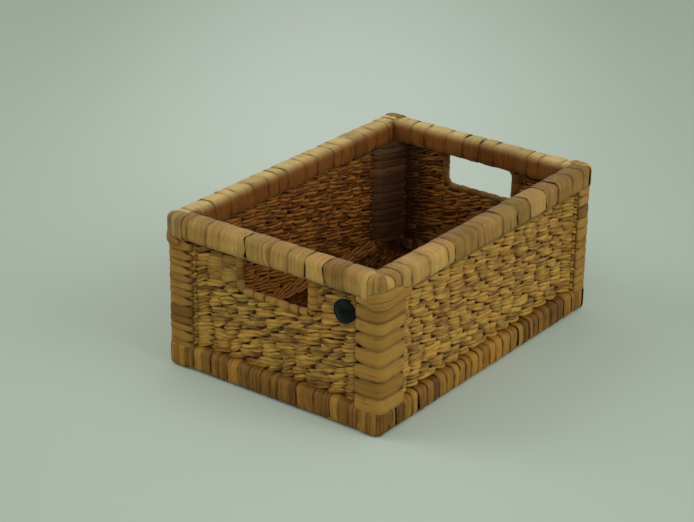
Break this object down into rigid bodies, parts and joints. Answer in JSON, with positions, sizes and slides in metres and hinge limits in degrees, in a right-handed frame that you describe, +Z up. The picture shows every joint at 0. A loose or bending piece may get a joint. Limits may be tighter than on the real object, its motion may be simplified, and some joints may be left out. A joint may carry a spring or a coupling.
{
  "type": "woven storage basket",
  "caption": "Open rectangular basket of woven leaf on a pole frame, with wrapped rim, border and corners and a hand hole in each end.",
  "frame": {"origin": "under the middle of the basket, on the surface it stands on", "axes": "+X along the length away from the end with the badge, +Y across the width, +Z up"},
  "size_m": [0.417, 0.292, 0.18],
  "materials": {
    "rim_leaf": "pale tan dried leaf strips, satin",
    "border_leaf": "orange-brown dried leaf strips, satin",
    "corner_leaf": "tan-brown dried leaf strips, satin",
    "woven_leaf": "mid-brown woven dried leaf, matte",
    "cane": "bare rattan cane, satin",
    "badge_gloss": "glossy blue-black moulded plastic",
    "washer_steel": "plain steel"
  },
  "bodies": {
    "root": {"right_rim_pole": "cane", "right_rim_wrap": "rim_leaf", "right_base_pole": "cane", "right_base_wrap": "border_leaf", "right_stake_1": "cane", "right_stake_2": "cane", "right_stake_3": "cane", "right_stake_4": "cane", "right_stake_5": "cane", "right_stake_6": "cane", "right_stake_7": "cane", "right_panel": "woven_leaf", "left_rim_pole": "cane", "left_rim_wrap": "rim_leaf", "left_base_pole": "cane", "left_base_wrap": "border_leaf", "left_stake_1": "cane", "left_stake_2": "cane", "left_stake_3": "cane", "left_stake_4": "cane", "left_stake_5": "cane", "left_stake_6": "cane", "left_stake_7": "cane", "left_panel": "woven_leaf", "front_rim_pole": "cane", "front_rim_wrap": "rim_leaf", "front_base_pole": "cane", "front_base_wrap": "border_leaf", "front_stake_1": "cane", "front_stake_2": "cane", "front_stake_3": "cane", "front_stake_4": "cane", "front_stake_5": "cane", "front_hoop": "cane", "front_hand_hole_wrap": "corner_leaf", "front_panel": "woven_leaf", "badge_button": "badge_gloss", "badge_washer": "washer_steel", "back_rim_pole": "cane", "back_rim_wrap": "rim_leaf", "back_base_pole": "cane", "back_base_wrap": "border_leaf", "back_stake_1": "cane", "back_stake_2": "cane", "back_stake_3": "cane", "back_stake_4": "cane", "back_stake_5": "cane", "back_hoop": "cane", "back_hand_hole_wrap": "corner_leaf", "back_panel": "woven_leaf", "front_right_corner_post": "cane", "front_right_corner_wrap": "corner_leaf", "front_left_corner_post": "cane", "front_left_corner_wrap": "corner_leaf", "back_right_corner_post": "cane", "back_right_corner_wrap": "corner_leaf", "back_left_corner_post": "cane", "back_left_corner_wrap": "corner_leaf", "base_mat": "woven_leaf"}
  },
  "joints": []
}
